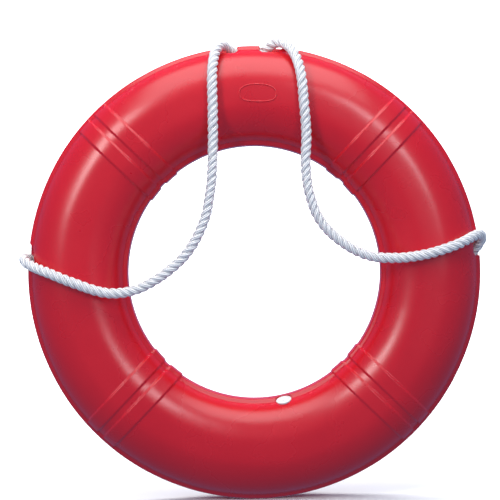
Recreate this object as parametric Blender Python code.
# Ring lifebuoy: two moulded half shells over a foam core, with one grab rope
# threaded through four tunnels in the rim.
# The ring stands upright: its axis is Y, its front faces -Y and its centre is the origin.
# Places on the ring are given as a clock angle (0 at +X, 90 at the top, in degrees),
# a radius from the ring's axis, and a depth along Y.

import math

import bmesh
import bpy
from mathutils import Vector

# Overall sizes of the ring, in metres
RING_OUTER_DIAMETER = 0.610
RING_HOLE_DIAMETER = 0.342
RING_DEPTH = 0.102

# Shell
SHELL_WALL = 0.003
SECTION_SQUARENESS = 2.1  # 2 is an ellipse, and more is squarer
FLAT_LAND_SHARE = 0.012  # how far the section would rise past the flat land, as a share
RIM_HEIGHT = 0.0025
RIM_HALF_WIDTH = 0.014
RIM_SLOPE = 0.005
SEAM_GAP = 0.0003
LIP_LENGTH = 0.003
LIP_INSET = 0.0025

# Raised bands, in pairs with straight parallel edges
BAND_WIDTH = 0.020
BAND_SPACING = 0.010
BAND_HEIGHT = 0.002
BAND_STEP = 0.0016
BAND_CLOCKS = (45, 135, 225, 315)

# Rope, and the tunnels that it passes through
ROPE_DIAMETER = 0.014
ROPE_SIDES_LEVEL = 2
LINER_CLEARANCE = 0.0024  # between the rope and the liner, all round
LINER_WALL = 0.0015
LINER_HALF_LENGTH = 0.010
FIT_GAP = 0.0003
BRIDGE_THICKNESS = 0.0027
POCKET_STATIONS = (1.0, 0.9, 0.72, 0.5, 0.28, 0.12, 0.0)
POCKET_LENGTH = 0.041  # from the end of the liner, along the rim
FRONT_POCKET_HALF_WIDTH = 0.0168
FRONT_POCKET_LEAN = 0.0068  # how far a pocket's middle is set to the side that its rope leaves by
REAR_POCKET_HALF_WIDTH = 0.0275
REAR_POCKET_LEAN = 0.017
LEAN_SHARE = 0.25  # the lean is full this far along the pocket
POCKET_END_HALF_WIDTH = 0.004
WALL_SHIFT = 0.8  # how far the wall round a pocket leans back under the bridge, in walls
POCKET_CLEAR_HEIGHT = 0.030  # how far the pocket's cut stands out past the bore

# Foam
FOAM_GAP = 0.0003
FOAM_RECESS_GAP = 0.0024

# Plugs: (clock, section angle, head radius, stem radius)
PLUG_HEAD_THICKNESS = 0.0026
PLUG_SEAT_DEPTH = 0.0016
PLUG_STEM_LENGTH = 0.014
FILLER_PLUG = {"clock": 281.5, "section": 162.0, "head": 0.0105, "stem": 0.0065}
VENT_PLUG = {"clock": 112.0, "section": 215.0, "head": 0.007, "stem": 0.004}

# Rope ends
WHIPPING_LENGTH = 0.014
SEIZING_LENGTH = 0.022
TWINE_THICKNESS = 0.0010
TWINE_CLEARANCE = 0.0017
ROPE_CLEARANCE = 0.0022  # between the rope and the shell that it lies on
LASHED_LIFT = ROPE_DIAMETER / 2 + BAND_HEIGHT + TWINE_THICKNESS + TWINE_CLEARANCE + 0.001

# Fineness of the meshes
SECTIONS_BETWEEN_BANDS = 9
OUTER_STEPS = 4
INNER_STEPS = 5
FOAM_SECTIONS = 36
ROUND_SIDES = 16
TUNNEL_SIDES = 12

# Worked-out sizes
OUTER_RADIUS = RING_OUTER_DIAMETER / 2
HOLE_RADIUS = RING_HOLE_DIAMETER / 2
SECTION_RADIUS = (OUTER_RADIUS + HOLE_RADIUS) / 2
HALF_WIDTH = (OUTER_RADIUS - HOLE_RADIUS) / 2 - RIM_HEIGHT
HALF_DEPTH = RING_DEPTH / 2
ROPE_RADIUS = ROPE_DIAMETER / 2
BORE_RADIUS = ROPE_RADIUS + LINER_CLEARANCE
LINER_RADIUS = BORE_RADIUS + LINER_WALL
BORE_PLACE = OUTER_RADIUS - BRIDGE_THICKNESS - FIT_GAP - LINER_RADIUS

RED = (0.62, 0.018, 0.028)
FRONT = -1
REAR = 1
POCKET_WIDTHS = {
    FRONT: (FRONT_POCKET_HALF_WIDTH, FRONT_POCKET_LEAN),
    REAR: (REAR_POCKET_HALF_WIDTH, REAR_POCKET_LEAN),
}

# Each tunnel's clock angle, and the sides that its rope comes from and leaves by
TUNNELS = {
    "right": (0, REAR, FRONT),
    "top": (90, FRONT, FRONT),
    "left": (180, FRONT, REAR),
    "bottom": (270, REAR, REAR),
}


# Places on the ring

def radial(clock):
    angle = math.radians(clock)
    return Vector((math.cos(angle), 0, math.sin(angle)))


def tangent(clock):
    angle = math.radians(clock)
    return Vector((-math.sin(angle), 0, math.cos(angle)))


def along(clock, offset, radius, depth):
    """A point at this radius, set off sideways from the clock angle's own radial plane."""
    reach = math.sqrt(max(radius * radius - offset * offset, 0))
    return radial(clock) * reach + tangent(clock) * offset + Vector((0, depth, 0))


def section_point(section, lift=0.0):
    """Radius and depth on the section, lifted off its surface: 0 is outward, 90 front, 270 rear."""
    angle = math.radians(section)
    power = 2 / SECTION_SQUARENESS
    wide = HALF_WIDTH + lift
    deep = HALF_DEPTH + lift
    full = deep * (1 + FLAT_LAND_SHARE)
    across = wide * math.copysign(abs(math.cos(angle)) ** power, math.cos(angle))
    depth = full * math.copysign(abs(math.sin(angle)) ** power, math.sin(angle))
    depth = max(-deep, min(deep, depth))
    return SECTION_RADIUS + across, -depth


def on_ring(clock, section, lift):
    radius, depth = section_point(section, lift)
    return along(clock, 0, radius, depth)


def section_angle_at(depth):
    """The section angle, from the outward direction, where the surface reaches this depth."""
    share = min(depth / (HALF_DEPTH * (1 + FLAT_LAND_SHARE)), 1)
    return math.degrees(math.asin(share ** (SECTION_SQUARENESS / 2)))


# Meshes

def material(name, colour, roughness, metallic=0.0):
    made = bpy.data.materials.new(name)
    made.use_nodes = True
    shader = made.node_tree.nodes["Principled BSDF"]
    shader.inputs["Base Color"].default_value = (*colour, 1)
    shader.inputs["Roughness"].default_value = roughness
    shader.inputs["Metallic"].default_value = metallic
    made.diffuse_color = (*colour, 1)
    return made


def add_object(name, shape, surface=None):
    """Turns a bmesh into an object, with its faces pointing out and its curves shaded smooth."""
    bmesh.ops.recalc_face_normals(shape, faces=shape.faces)
    mesh = bpy.data.meshes.new(name)
    shape.to_mesh(mesh)
    shape.free()
    mesh.shade_smooth()
    mesh.set_sharp_from_angle(angle=math.radians(32))
    placed = bpy.data.objects.new(name, mesh)
    bpy.context.scene.collection.objects.link(placed)
    if surface is None:
        placed.hide_render = True
        placed.display_type = "WIRE"
    else:
        mesh.materials.append(surface)
    return placed


def join_rings(shape, rings, looped):
    """Faces between neighbouring rings of points. The ends are closed when it isn't looped."""
    count = len(rings[0])
    made = [[shape.verts.new(point) for point in ring] for ring in rings]
    pairs = list(zip(made, made[1:]))
    if looped:
        pairs.append((made[-1], made[0]))
    for one, other in pairs:
        for k in range(count):
            after = (k + 1) % count
            shape.faces.new((one[k], one[after], other[after], other[k]))
    if not looped:
        shape.faces.new(made[0])
        shape.faces.new(made[-1])


def cut(body, cutter):
    change = body.modifiers.new("cut " + cutter.name, "BOOLEAN")
    change.operation = "DIFFERENCE"
    change.solver = "EXACT"
    change.object = cutter


def turned(shape, place, axis, profile):
    """Turns a profile of (radius, height) round an axis, from one end on the axis to the other."""
    turn = Vector((0, 0, 1)).rotation_difference(axis).to_matrix()
    rings = []
    for radius, height in profile:
        ring = []
        for k in range(ROUND_SIDES):
            angle = 2 * math.pi * k / ROUND_SIDES
            ring.append(place + turn @ Vector((radius * math.cos(angle), radius * math.sin(angle), height)))
        rings.append(ring)
    join_rings(shape, rings, looped=False)


# Shell and foam

def ring_stations():
    """Where the ring is cut into sections: (clock, sideways offset, on a band or not)."""
    inner = BAND_SPACING / 2
    outer = inner + BAND_WIDTH
    half = BAND_STEP / 2
    across = [(-outer - half, False), (-outer + half, True), (-inner - half, True), (-inner + half, False)]
    across += [(-offset, raised) for offset, raised in reversed(across)]
    group_half_angle = math.degrees(math.asin((outer + half) / SECTION_RADIUS))
    stations = []
    for clock in BAND_CLOCKS:
        stations += [(clock, offset, raised) for offset, raised in across]
        start = clock + group_half_angle
        span = 90 - 2 * group_half_angle
        for k in range(SECTIONS_BETWEEN_BANDS):
            stations.append((start + span * (k + 1) / (SECTIONS_BETWEEN_BANDS + 1), 0, False))
    return stations


def half_section(side, raised):
    """The outline of one half of the ring, closed along the seam, as (radius, depth)."""
    lift = BAND_HEIGHT if raised else 0
    root = section_angle_at(RIM_HALF_WIDTH + RIM_SLOPE)
    land = section_angle_at(HALF_DEPTH)
    steps = [root + (land - root) * k / OUTER_STEPS for k in range(OUTER_STEPS + 1)]
    seam = SEAM_GAP / 2
    outline = [(OUTER_RADIUS, seam), (OUTER_RADIUS, RIM_HALF_WIDTH)]
    for section in steps + [180 - angle for angle in reversed(steps)]:
        own_lift = 0 if section == root else lift
        radius, depth = section_point(section, own_lift)
        outline.append((radius, abs(depth)))
    outline += [(HOLE_RADIUS - lift, RIM_HALF_WIDTH), (HOLE_RADIUS - lift, seam)]
    # A lip on the rear half laps inside the front half's rim.
    if side == REAR:
        lip = LIP_INSET
        level = -LIP_LENGTH
    else:
        lip = LIP_INSET - SEAM_GAP
        level = LIP_LENGTH + SEAM_GAP
    outline += [(HOLE_RADIUS + lip, seam), (HOLE_RADIUS + lip, level)]
    outline += [(OUTER_RADIUS - lip, level), (OUTER_RADIUS - lip, seam)]
    return [(radius, side * depth) for radius, depth in outline]


def half_ring(name, side, surface):
    shape = bmesh.new()
    rings = []
    for clock, offset, raised in ring_stations():
        rings.append([along(clock, offset, radius, depth) for radius, depth in half_section(side, raised)])
    join_rings(shape, rings, looped=True)
    return add_object(name, shape, surface)


def inside_ring(name, shrink, surface=None):
    """The round body inside the shell, this far under the outer surface."""
    shape = bmesh.new()
    rings = []
    for k in range(FOAM_SECTIONS):
        clock = 360 * (k + 0.5) / FOAM_SECTIONS
        angles = [180 * j / INNER_STEPS for j in range(2 * INNER_STEPS)]
        rings.append([on_ring(clock, angle, -shrink) for angle in angles])
    join_rings(shape, rings, looped=True)
    return add_object(name, shape, surface)


# Tunnels

def tunnel_outline(share, grow, side):
    """Floor, roof, half width and lean at this share of the way from the liner's end outward."""
    floor = BORE_PLACE - BORE_RADIUS
    roof = BORE_PLACE + BORE_RADIUS + POCKET_CLEAR_HEIGHT * min(1.0, share / 0.4) ** 1.4
    late = max(0.0, 2 * share - 1)
    floor += (OUTER_RADIUS - floor) * (1 - math.sqrt(max(1 - late * late, 0)))
    swell = math.sqrt(max(1 - (2 * share - 1) ** 2, 0))
    widest, full_lean = POCKET_WIDTHS[side]
    half_width = BORE_RADIUS * (1 - share) + (widest - BORE_RADIUS / 2) * swell ** 1.3
    half_width = max(half_width, POCKET_END_HALF_WIDTH)
    lean = full_lean * math.sin(math.pi / 2 * min(1.0, share / LEAN_SHARE))
    return floor - grow, roof + grow, half_width + grow, lean


def tunnel_bodies(name, grow):
    """All four tunnels with their pockets and liner seats, grown by a wall for the space inside."""
    shape = bmesh.new()
    seat = LINER_WALL + FIT_GAP
    stations = []
    for share in POCKET_STATIONS:
        shift = grow * (share - WALL_SHIFT * (1 - share))
        offset = LINER_HALF_LENGTH + FIT_GAP + POCKET_LENGTH * share + shift
        stations.append((offset, share, seat if grow else 0))
    if not grow:
        stations.append((LINER_HALF_LENGTH + FIT_GAP, 0, seat))
    for clock, first_side, last_side in TUNNELS.values():
        ends = [(-offset, share, extra, first_side) for offset, share, extra in stations]
        ends += [(offset, share, extra, last_side) for offset, share, extra in reversed(stations)]
        rings = []
        for offset, share, extra, side in ends:
            floor, roof, half_width, lean = tunnel_outline(share, grow + extra, side)
            middle = (floor + roof) / 2
            half_height = (roof - floor) / 2
            ring = []
            for k in range(TUNNEL_SIDES):
                angle = 2 * math.pi * (k + 0.5) / TUNNEL_SIDES
                point = radial(clock) * (middle + half_height * math.cos(angle))
                point += Vector((0, half_width * math.sin(angle) + side * lean, 0))
                ring.append(point + tangent(clock) * offset)
            rings.append(ring)
        join_rings(shape, rings, looped=False)
    return add_object(name, shape)


def rope_liner(name, clock, surface):
    """The short tube across a tunnel's middle."""
    corners = [(LINER_RADIUS, -1), (LINER_RADIUS, 1), (BORE_RADIUS, 1), (BORE_RADIUS, -1)]
    shape = bmesh.new()
    rings = []
    for k in range(TUNNEL_SIDES):
        angle = 2 * math.pi * (k + 0.5) / TUNNEL_SIDES
        out = radial(clock) * math.cos(angle) + Vector((0, math.sin(angle), 0))
        start = radial(clock) * BORE_PLACE
        end = tangent(clock) * LINER_HALF_LENGTH
        rings.append([start + out * radius + end * way for radius, way in corners])
    join_rings(shape, rings, looped=True)
    return add_object(name, shape, surface)


# Plugs

def plug_frame(plug):
    """The plug's seat on the shell and the direction out of the shell there."""
    place = on_ring(plug["clock"], plug["section"], 0)
    before = on_ring(plug["clock"], plug["section"] - 1, 0)
    after = on_ring(plug["clock"], plug["section"] + 1, 0)
    out = (after - before).cross(tangent(plug["clock"])).normalized()
    if out.dot(place - radial(plug["clock"]) * SECTION_RADIUS) < 0:
        out = -out
    return place, out


def plug_profile(plug, gap, head_top):
    floor = -PLUG_SEAT_DEPTH
    stem = floor - PLUG_STEM_LENGTH
    head = plug["head"]
    return [
        (plug["stem"] * 0.7 + gap, stem - gap),
        (plug["stem"] + gap, stem + plug["stem"] * 0.3 - gap),
        (plug["stem"] + gap, floor - gap),
        (head + gap, floor - gap),
        (head + gap, head_top - PLUG_HEAD_THICKNESS * 0.3),
        (head * 0.85 + gap, head_top),
    ]


def add_plug(name, plug, surface):
    place, out = plug_frame(plug)
    shape = bmesh.new()
    turned(shape, place, out, plug_profile(plug, 0, PLUG_HEAD_THICKNESS - PLUG_SEAT_DEPTH))
    return add_object(name, shape, surface)


def add_plug_seat(name, plug):
    place, out = plug_frame(plug)
    shape = bmesh.new()
    turned(shape, place, out, plug_profile(plug, FIT_GAP, PLUG_HEAD_THICKNESS * 3))
    return add_object(name, shape)


# Rope route

def mouth(clock, points):
    """Places near a tunnel's mouth, as (sideways offset, radius, depth) in millimetres."""
    return [along(clock, offset / 1000, radius / 1000, depth / 1000) for offset, radius, depth in points]


def inside_tunnel(clock):
    low = (BORE_PLACE - 0.0007) * 1000
    return mouth(clock, [(-15, low + 4.1, 0), (0, low, 0), (15, low + 4.1, 0)])


def hanging(points):
    return [Vector((x, y, z)) / 1000 for x, y, z in points]


def rope_route():
    """The rope's own points, chosen one by one, from one end round the ring to the other end."""
    rope_lift = ROPE_RADIUS + ROPE_CLEARANCE
    band_lift = rope_lift + BAND_HEIGHT
    points = [on_ring(218, 244, LASHED_LIFT), on_ring(228, 244, LASHED_LIFT), on_ring(239, 245, LASHED_LIFT)]
    points += [on_ring(249, 257, rope_lift), on_ring(257, 281, rope_lift), on_ring(261, 303, rope_lift)]
    points += mouth(270, [(-36, 296, 36), (-32.5, 298.5, 25), (-29, 298.5, 14), (-23, 297.5, 5)])
    points += inside_tunnel(270)
    points += mouth(270, [(23, 297.5, 5), (29, 298.5, 14), (32.5, 298.5, 25), (36, 296, 36)])
    points += [on_ring(279, 303, rope_lift), on_ring(283, 281, rope_lift), on_ring(291, 255, rope_lift)]
    points += [on_ring(303, 236, rope_lift), on_ring(315, 232, band_lift), on_ring(327, 236, rope_lift)]
    points += [on_ring(339, 255, rope_lift), on_ring(347, 281, rope_lift), on_ring(351, 303, rope_lift)]
    points += mouth(0, [(-36, 296, 36), (-32.5, 298.5, 25), (-29, 298.5, 14), (-23, 297.5, 5)])
    points += inside_tunnel(0)
    points += mouth(0, [(26.5, 303.5, -4), (36.5, 309.5, -12), (43, 307, -25), (40.5, 296, -39)])
    points += hanging([(274, -55.5, 32), (233, -60.5, 19.5), (192, -60.5, 14.5), (150, -61, 19), (112, -62, 41)])
    points += hanging([(88, -62, 68), (75, -62, 105), (71.5, -61, 143), (73.5, -60.5, 181), (71, -60.5, 229)])
    points += hanging([(68.5, -57, 261)])
    points += mouth(90, [(-62.5, 293, -42), (-52, 307.6, -26), (-38.5, 310.6, -13), (-26, 303, -4)])
    points += inside_tunnel(90)
    points += mouth(90, [(25.5, 303, -5), (34.5, 308.5, -14.5), (41.5, 304, -29), (46.5, 290, -44.5)])
    points += hanging([(-49, -57, 262), (-49.3, -60.5, 218), (-50.5, -60.5, 165), (-55, -61, 110), (-66, -62, 66)])
    points += hanging([(-90, -62, 26), (-125, -62, -3), (-160, -61, -19.5), (-195, -60.5, -22), (-237, -60.5, -8.5)])
    points += hanging([(-275, -55, 7.5)])
    points += mouth(180, [(-16, 296.5, -39.5), (-21.5, 306, -31), (-26.5, 309.5, -18), (-25, 303.5, -6)])
    points += inside_tunnel(180)
    points += mouth(180, [(23, 297.5, 5), (29, 298.5, 14), (32.5, 298.5, 25), (36, 296, 36)])
    points += [on_ring(189, 303, rope_lift), on_ring(193, 281, rope_lift), on_ring(201, 255, rope_lift)]
    points += [on_ring(212, 233, rope_lift), on_ring(220, 230.5, LASHED_LIFT)]
    points += [on_ring(229, 230.5, LASHED_LIFT), on_ring(238, 230.5, LASHED_LIFT)]
    return points


def smooth_line(points, fineness=24):
    """A smooth curve through the points, as many short steps, paced by their distances."""
    padded = [points[0] * 2 - points[1]] + points + [points[-1] * 2 - points[-2]]
    line = []
    for before, start, end, after in zip(padded, padded[1:], padded[2:], padded[3:]):
        pace = [(b - a).length ** 0.5 for a, b in ((before, start), (start, end), (end, after))]
        leave = (start - before) / pace[0] - (end - before) / (pace[0] + pace[1]) + (end - start) / pace[1]
        arrive = (end - start) / pace[1] - (after - start) / (pace[1] + pace[2]) + (after - end) / pace[2]
        leave *= pace[1]
        arrive *= pace[1]
        for k in range(fineness):
            s = k / fineness
            line.append(
                start * (2 * s**3 - 3 * s**2 + 1)
                + leave * (s**3 - 2 * s**2 + s)
                + end * (3 * s**2 - 2 * s**3)
                + arrive * (s**3 - s**2)
            )
    return line + [points[-1]]


def paced(line, turn_degrees, longest):
    """Points along the line, closer together where it bends."""
    kept = [line[0]]
    heading = (line[1] - line[0]).normalized()
    travelled = 0
    for before, here, ahead in zip(line, line[1:], line[2:]):
        travelled += (here - before).length
        direction = (ahead - here).normalized()
        if heading.angle(direction) > math.radians(turn_degrees) or travelled > longest:
            kept.append(here)
            heading = direction
            travelled = 0
    return kept + [line[-1]]


def add_rope(name, surface):
    points = paced(smooth_line(rope_route()), 22, 0.042)
    curve = bpy.data.curves.new(name, "CURVE")
    curve.dimensions = "3D"
    curve.twist_mode = "MINIMUM"
    curve.bevel_depth = ROPE_RADIUS
    curve.bevel_resolution = ROPE_SIDES_LEVEL
    curve.use_fill_caps = True
    spline = curve.splines.new("POLY")
    spline.points.add(len(points) - 1)
    for target, point in zip(spline.points, points):
        target.co = (*point, 1)
    curve.materials.append(surface)
    rope = bpy.data.objects.new(name, curve)
    bpy.context.scene.collection.objects.link(rope)
    return rope


# Rope ends

def band_round(shape, centre, axis, across, spread, length):
    """A flat band of twine round one rope, or round two when the spread sets their centres apart."""
    side = axis.cross(across).normalized()
    inner = ROPE_RADIUS + TWINE_CLEARANCE
    outer = inner + TWINE_THICKNESS
    rings = []
    for k in range(ROUND_SIDES):
        angle = 2 * math.pi * (k + 0.5) / ROUND_SIDES
        out = across * math.cos(angle) + side * math.sin(angle)
        shift = across * math.copysign(spread / 2, math.cos(angle))
        corners = [(outer, -length / 2), (outer, length / 2), (inner, length / 2), (inner, -length / 2)]
        rings.append([centre + shift + out * radius + axis * height for radius, height in corners])
    join_rings(shape, rings, looped=True)


def add_whippings(surface):
    line = smooth_line(rope_route())
    ends = {"rope_whipping_1": line[:12], "rope_whipping_2": line[:-13:-1]}
    for name, stretch in ends.items():
        axis = (stretch[-1] - stretch[0]).normalized()
        centre = stretch[0] + axis * (WHIPPING_LENGTH / 2 + 0.003)
        across = axis.cross(Vector((0, 1, 0))).normalized()
        shape = bmesh.new()
        band_round(shape, centre, axis, across, 0, WHIPPING_LENGTH)
        add_object(name, shape, surface)


def add_seizing(surface):
    one = on_ring(228, 244, LASHED_LIFT)
    other = on_ring(228, 230.5, LASHED_LIFT)
    shape = bmesh.new()
    across = (one - other).normalized()
    band_round(shape, (one + other) / 2, tangent(228), across, (one - other).length, SEIZING_LENGTH)
    return add_object("rope_seizing", shape, surface)


def main():
    for old in list(bpy.data.objects):
        bpy.data.objects.remove(old, do_unlink=True)
    red = material("red polyethylene", RED, 0.32)
    foam = material("buff foam", (0.75, 0.62, 0.38), 0.9)
    natural = material("natural polyethylene", (0.85, 0.84, 0.80), 0.4)
    white_rope = material("white rope", (0.85, 0.86, 0.88), 0.75)
    twine = material("waxed twine", (0.72, 0.70, 0.64), 0.6)

    shells = [half_ring("front_shell", FRONT, red), half_ring("rear_shell", REAR, red)]
    core_space = inside_ring("core_space", SHELL_WALL)
    cut(core_space, tunnel_bodies("tunnel_walls", SHELL_WALL))
    tunnels = tunnel_bodies("tunnel_cut", 0)
    plug_seats = [add_plug_seat("filler_seat", FILLER_PLUG), add_plug_seat("vent_seat", VENT_PLUG)]
    for shell in shells:
        cut(shell, core_space)
        cut(shell, tunnels)
    cut(shells[0], plug_seats[0])
    cut(shells[1], plug_seats[1])

    core = inside_ring("foam_core", SHELL_WALL + FOAM_GAP, foam)
    cut(core, tunnel_bodies("foam_recesses", SHELL_WALL + FOAM_RECESS_GAP))
    for seat in plug_seats:
        cut(core, seat)

    for where, tunnel in TUNNELS.items():
        rope_liner("rope_liner_" + where, tunnel[0], natural)
    add_plug("filler_plug", FILLER_PLUG, natural)
    add_plug("vent_plug", VENT_PLUG, natural)
    add_rope("grab_rope", white_rope)
    add_whippings(twine)
    add_seizing(twine)


main()
